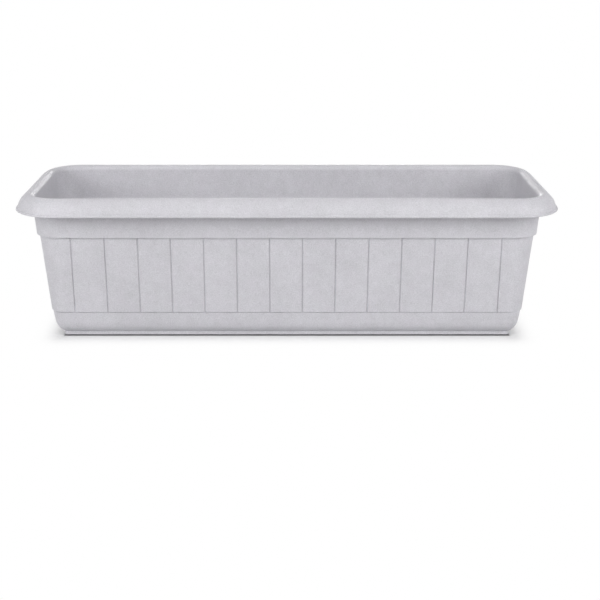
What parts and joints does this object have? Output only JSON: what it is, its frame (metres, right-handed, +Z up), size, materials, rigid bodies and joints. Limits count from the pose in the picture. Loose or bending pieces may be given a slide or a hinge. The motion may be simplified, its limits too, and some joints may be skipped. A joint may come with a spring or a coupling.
{
  "type": "window box planter",
  "caption": "Long tapering planter box with a rolled rim and plank-grooved walls, standing on a shallow drip tray, with pull-out drain plugs in its raised floor.",
  "frame": {"origin": "on the ground, at the centre of the box's footprint", "axes": "+X along the box's length, -Y towards the front, +Z up"},
  "size_m": [0.6, 0.21, 0.168],
  "materials": {
    "stone_effect_plastic": "satin, light grey with fine darker speckles",
    "tray_plastic": "satin, light grey with fine darker speckles",
    "plug_plastic": "plain, slightly soft"
  },
  "bodies": {
    "drip_tray": {"drip_tray": "tray_plastic"},
    "trough": {"trough": "stone_effect_plastic"},
    "drain_plug_1": {"drain_plug_1": "plug_plastic"},
    "drain_plug_2": {"drain_plug_2": "plug_plastic"},
    "drain_plug_3": {"drain_plug_3": "plug_plastic"},
    "drain_plug_4": {"drain_plug_4": "plug_plastic"}
  },
  "joints": [
    {"name": "trough_lift", "type": "slide", "parent": "drip_tray", "child": "trough", "axis": [0, 0, 1], "range_m": [0, 0.06]},
    {"name": "drain_plug_1_pull", "type": "slide", "parent": "trough", "child": "drain_plug_1", "axis": [0, 0, 1], "range_m": [0, 0.17]},
    {"name": "drain_plug_2_pull", "type": "slide", "parent": "trough", "child": "drain_plug_2", "axis": [0, 0, 1], "range_m": [0, 0.17]},
    {"name": "drain_plug_3_pull", "type": "slide", "parent": "trough", "child": "drain_plug_3", "axis": [0, 0, 1], "range_m": [0, 0.17]},
    {"name": "drain_plug_4_pull", "type": "slide", "parent": "trough", "child": "drain_plug_4", "axis": [0, 0, 1], "range_m": [0, 0.17]}
  ]
}
